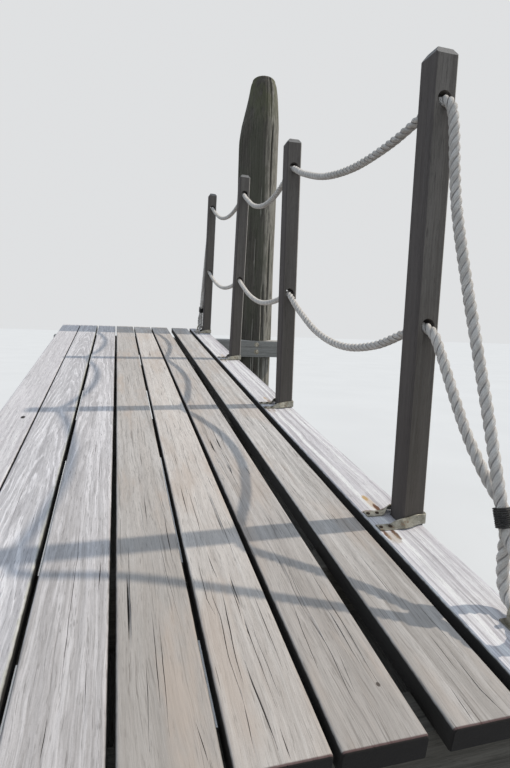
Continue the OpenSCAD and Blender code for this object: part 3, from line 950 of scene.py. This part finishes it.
def strap_path(sign, post_x):
    """Half of a strap from its flat end to the middle of its back: place, twist, turn round the corner."""
    rows = []
    outer = POST_HALF + 0.003
    inner = outer - STRAP_BEND
    for k in range(49):
        x = STRAP_END + (inner - STRAP_END) * k / 48
        turn = smooth((x + 0.066) / 0.034) * 0.55 + 0.45 * smooth((x + 0.036) / 0.062)
        a = turn * math.pi / 2
        beside = POST_HALF + 0.001 + STRAP_HALF * math.cos(a) + 0.002 * math.sin(a)
        y = outer + (beside - outer) * smooth((x + 0.058) / 0.024)
        rows.append((x, y, 0.002 + (STRAP_HALF + 0.0015) * math.sin(a), turn))
    out = [(post_x + x, sign * y, z, turn, 0.0) for x, y, z, turn in rows]
    for k in range(1, 7):
        a = math.pi / 2 * k / 6
        x, y = inner + STRAP_BEND * math.sin(a), inner + STRAP_BEND * math.cos(a)
        out.append((post_x + x, sign * y, STRAP_MID, 1.0, a))
    for k in range(1, 9):
        out.append((post_x + outer, sign * inner * (1 - k / 8), STRAP_MID, 1.0, math.pi / 2))
    return out


def strap_mesh(name, post_x, py, seed):
    rnd = random.Random(seed)
    h = STRAP_HALF
    section = [(-h, -0.0012), (0.0008 - h, -0.0020), (h - 0.0008, -0.0020), (h, -0.0012),
               (h, 0.0012), (h - 0.0008, 0.0020), (0.0008 - h, 0.0020), (-h, 0.0012)]
    verts = []
    rows = [(r, -1) for r in strap_path(-1, post_x)] + [(r, 1) for r in strap_path(1, post_x)[::-1][1:]]
    along = Vector((0, math.cos(SLOPE), math.sin(SLOPE)))
    for n, ((x, y, z, turn, corner), sign) in enumerate(rows):
        a = turn * math.pi / 2
        # the flat arm faces up; the upright part faces away from the post
        wide = along * math.cos(a) * (-sign) + Vector((0, 0, 1)) * math.sin(a)
        out = Vector((math.sin(corner), sign * math.cos(corner), 0))
        thin = UP * math.cos(a) + out * math.sin(a)
        wide.normalize()
        thin.normalize()
        from_end = min(n, len(rows) - 1 - n)
        scale = [0.62, 0.9, 1.0][from_end] if from_end < 3 else 1.0
        mid = Vector((x, py + y, deck_z(py + y) + z))
        if from_end < 3:
            mid.x += [0.0018, -0.0018, -0.0052][from_end] + 0.0006 * rnd.random()
        for w, t in section:
            verts.append(mid + wide * (w * scale * sign * -1) + thin * t)
    obj = new_mesh(name, verts, tube_faces(len(rows), len(section)))
    face_outward(obj.data)
    rounded(obj.data, 40)
    return obj


def add_part(bm, kind, mat, r, h):
    """A hexagon head, washer, stub or pan head, its foot on the given place and its axis along local Z."""
    def lathe(profile, sides):
        turns = [2 * math.pi * k / sides for k in range(sides)]
        rings = [[bm.verts.new(mat @ Vector((r * math.cos(a), r * math.sin(a), z))) for a in turns]
                 for r, z in profile]
        for a, b in zip(rings, rings[1:]):
            for k in range(sides):
                bm.faces.new((a[k], a[(k + 1) % sides], b[(k + 1) % sides], b[k]))
        bm.faces.new(list(reversed(rings[0])))
        bm.faces.new(rings[-1])
    if kind == "hex":
        lathe([(r * 0.94, 0), (r, h * 0.08), (r, h * 0.84), (r * 0.90, h)], 6)
    elif kind == "washer":
        lathe([(r, 0), (r, h * 0.7), (r - h * 0.4, h)], 28)
    elif kind == "stub":
        thread = [(r * (0.9 if k % 2 else 1.0), h * (k + 1) / 9) for k in range(8)]
        lathe([(r, 0)] + thread + [(r * 0.7, h)], 16)
    elif kind == "pan":
        lathe([(r, 0), (r, h * 0.35), (r * 0.86, h * 0.75), (r * 0.5, h), (r * 0.36, h),
               (r * 0.30, h * 0.6)], 20)


def steel_piece(name, mat, parts):
    bm = bmesh.new()
    for kind, place, axis, r, h in parts:
        aim = Vector(axis).to_track_quat("Z", "Y").to_matrix().to_4x4()
        add_part(bm, kind, Matrix.Translation(place) @ aim, r, h)
    bmesh.ops.recalc_face_normals(bm, faces=bm.faces)
    mesh = bpy.data.meshes.new(name)
    bm.to_mesh(mesh)
    bm.free()
    rounded(mesh, 32)
    mesh.materials.append(mat)
    obj = link(name, mesh)
    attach(obj, "root")


def bolt(parts, head, nut, axis, r=0.0125):
    """Head and washer at one end, washer, nut and thread at the other; axis points out of the head."""
    out = Vector(axis)
    parts.append(("washer", head, out, r * 1.45, 0.0025))
    parts.append(("hex", Vector(head) + out * 0.0025, out, r, 0.0085))
    parts.append(("washer", nut, -out, r * 1.45, 0.0025))
    parts.append(("hex", Vector(nut) - out * 0.0025, -out, r, 0.0105))
    parts.append(("stub", Vector(nut) - out * 0.0130, -out, r * 0.54, 0.007))


for i, py in enumerate(POST_Y):
    strap = strap_mesh(f"post_strap_{i + 1}_bar", POST_X[i], py, 60 + i)
    dress(strap, strap_mat, f"post_strap_{i + 1}")
    screws = []
    for sign in (-1, 1):
        for x in (POST_X[i] - 0.100, POST_X[i] - 0.072):
            y = py + sign * (POST_HALF + 0.003)
            screws.append(("pan", Vector((x, y, deck_z(y))) + UP * 0.0039, UP, 0.0056, 0.0026))
    steel_piece(f"strap_screws_{i + 1}", screw_mat, screws)
    bolts = []
    for drop in (0.043, 0.103):
        z = deck_z(py) - BEARER_DROP - drop
        x = POST_X[i] - math.tan(POST_LEAN[i]) * (BEARER_DROP + drop)
        bolt(bolts, (x, py - POST_HALF - PACKER, z), (x, py + POST_HALF, z), (0, -1, 0))
    steel_piece(f"post_bolts_{i + 1}", bolt_mat, bolts)
for side, (leg_x, sign) in zip(("left", "right"), LEGS):
    for place, leg_y in LEG_Y:
        bolts = []
        for drop in (0.055, 0.140):
            z = deck_z(leg_y) - STRINGER_DROP - drop
            bolt(bolts, (leg_x + sign * LEG_R, leg_y, z), (leg_x - sign * LEG_BACK, leg_y, z), (sign, 0, 0))
        steel_piece(f"{place}_{side}_leg_bolts", bolt_mat, bolts)
bolts = []
for drop in (0.040, 0.106):
    z = deck_z(TIMBER_Y) - BEARER_DROP - drop
    bolt(bolts, (PILE_AT[0], TIMBER_FRONT, z), (PILE_AT[0], PILE_BACK, z), (0, -1, 0), r=0.015)
steel_piece("pile_bolts", bolt_mat, bolts)
for name, (ex, ey) in EYES:
    cad_look(f"{name}_rope_eye", eye_mat, 0.0006)
    nuts = []
    for s in (-EYE_R, EYE_R):
        foot = Vector((ex + s, ey, deck_z(ey) - BEARER_DROP - CLEAR))
        nuts.append(("washer", foot, (0, 0, -1), 0.0125, 0.0022))
        nuts.append(("hex", foot - Vector((0, 0, 0.0022)), (0, 0, -1), 0.0098, 0.0085))
    steel_piece(f"{name}_eye_nuts", bolt_mat, nuts)


# ---- seizings
def seizing_mesh(name, at, tilt, turn):
    """Black cord wound round two rope parts side by side."""
    cord_r, offset = 0.0020, 0.015
    ring_r = 0.0146 + cord_r
    around = 2 * math.pi * ring_r + 4 * offset
    turns = 10
    pts = []
    count = int(turns * around / 0.003)
    for n in range(count + 1):
        s = n / count * turns * around
        u = s % around
        z = -0.0205 + 0.041 * s / (turns * around) + 0.0004 * math.sin(n * 0.37)
        half = math.pi * ring_r
        if u < 2 * offset:
            x, y = ring_r, -offset + u
        elif u < 2 * offset + half:
            a = (u - 2 * offset) / ring_r
            x, y = ring_r * math.cos(a), offset + ring_r * math.sin(a)
        elif u < 4 * offset + half:
            x, y = -ring_r, offset - (u - 2 * offset - half)
        else:
            a = (u - 4 * offset - half) / ring_r
            x, y = -ring_r * math.cos(a), -offset - ring_r * math.sin(a)
        pts.append((x, y, z))
    path = np.array(pts)
    side, up = frames_along(path)
    sides = 8
    verts = []
    for i, p in enumerate(path):
        for k in range(sides):
            a = 2 * math.pi * k / sides
            out = side[i] * math.cos(a) + up[i] * math.sin(a)
            verts.append(p + out * cord_r * (1.02 if i % 2 else 0.94))
    obj = new_mesh(name, verts, tube_faces(len(path), sides))
    obj.data.transform(Matrix.Translation(at) @ Matrix.Rotation(math.radians(tilt), 4, "X") @
                       Matrix.Rotation(math.radians(-turn), 4, "Z"))
    return obj


g = Graph("tarred_cord")
obj_co = g.coords()
tar = g.noise(obj_co, 220, 4, 0.6)
dusty = g.noise(obj_co, 60, 3, 0.6)
seizing_mat = g.finish(g.mix(g.ramp(dusty, 0.4, 0.75), (0.012, 0.012, 0.013), (0.05, 0.048, 0.045)),
                       g.ramp(tar, 0.3, 0.7, 0.45, 0.75), g.bump(tar, 0.0006, 0.8), specular=0.4)
for name, at, tilt, turn in (("near", (0.275, -1.847, 0.973), -20, 43),
                             ("far", (0.250, 1.932, 1.478), 20, 0)):
    band = seizing_mesh(f"{name}_seizing_winding", at, tilt, turn)
    dress(band, seizing_mat, f"{name}_seizing")


# ---- stage, light
def seen(tree):
    """1 for camera, mirror and see-through rays, which meet the pale studio; other rays meet a dim one."""
    path = tree.nodes.new("ShaderNodeLightPath").outputs
    either = path["Is Camera Ray"]
    for kind in ("Is Glossy Ray", "Is Transmission Ray"):
        node = tree.nodes.new("ShaderNodeMath")
        node.operation = "MAXIMUM"
        tree.links.new(either, node.inputs[0])
        tree.links.new(path[kind], node.inputs[1])
        either = node.outputs[0]
    return either


g = Graph("floor_paint")
patches = g.ramp(g.noise(g.coords(), 0.8, 2, 0.5), 0.2, 0.8)
paint = g.mix(patches, (0.76, 0.77, 0.78), (0.79, 0.80, 0.81))
g.finish(g.mix(seen(g.tree), (0.13, 0.13, 0.13), paint), 0.95, specular=0.0)
floor = new_mesh("floor", [(-60, -60, 0), (60, -60, 0), (60, 60, 0), (-60, 60, 0)], [(0, 1, 2, 3)])
floor.data.materials.append(g.mat)


def sun_light(name, energy, angle, color, toward, only=None, never=None):
    sun = bpy.data.lights.new(name, "SUN")
    sun.energy = energy
    sun.angle = math.radians(angle)
    sun.color = color
    obj = link(name, sun)
    obj.rotation_euler = Vector(toward).to_track_quat("Z", "Y").to_euler()
    group = bpy.data.collections.new(name + "_lights")
    group.objects.link(only or never)
    obj.light_linking.receiver_collection = group
    group.collection_objects[0].light_linking.link_state = "INCLUDE" if only else "EXCLUDE"


sun_light("key", 2.17, 1.0, (1.0, 0.90, 0.77), (1.0, 0.025, 1.10), never=floor)
sun_light("front", 0.30, 60, (1.0, 0.98, 0.96), (0.2, -1.0, 0.45), never=floor)
sun_light("floor_wash", 1.70, 70, (1.0, 0.91, 0.78), (0, 0, 1), only=floor)

world = bpy.data.worlds.new("studio")
bpy.context.scene.world = world
world.use_nodes = True
tree = world.node_tree
tree.nodes.clear()
sky = tree.nodes.new("ShaderNodeMixShader")
tree.links.new(seen(tree), sky.inputs[0])
for way, color, strength in ((1, (0.765, 0.87, 1.0, 1), 0.60), (2, (0.74, 0.75, 0.76, 1), 1.0)):
    light = tree.nodes.new("ShaderNodeBackground")
    light.inputs["Color"].default_value = color
    light.inputs["Strength"].default_value = strength
    tree.links.new(light.outputs[0], sky.inputs[way])
tree.links.new(sky.outputs[0], tree.nodes.new("ShaderNodeOutputWorld").inputs["Surface"])

bpy.context.scene.view_settings.view_transform = "Standard"
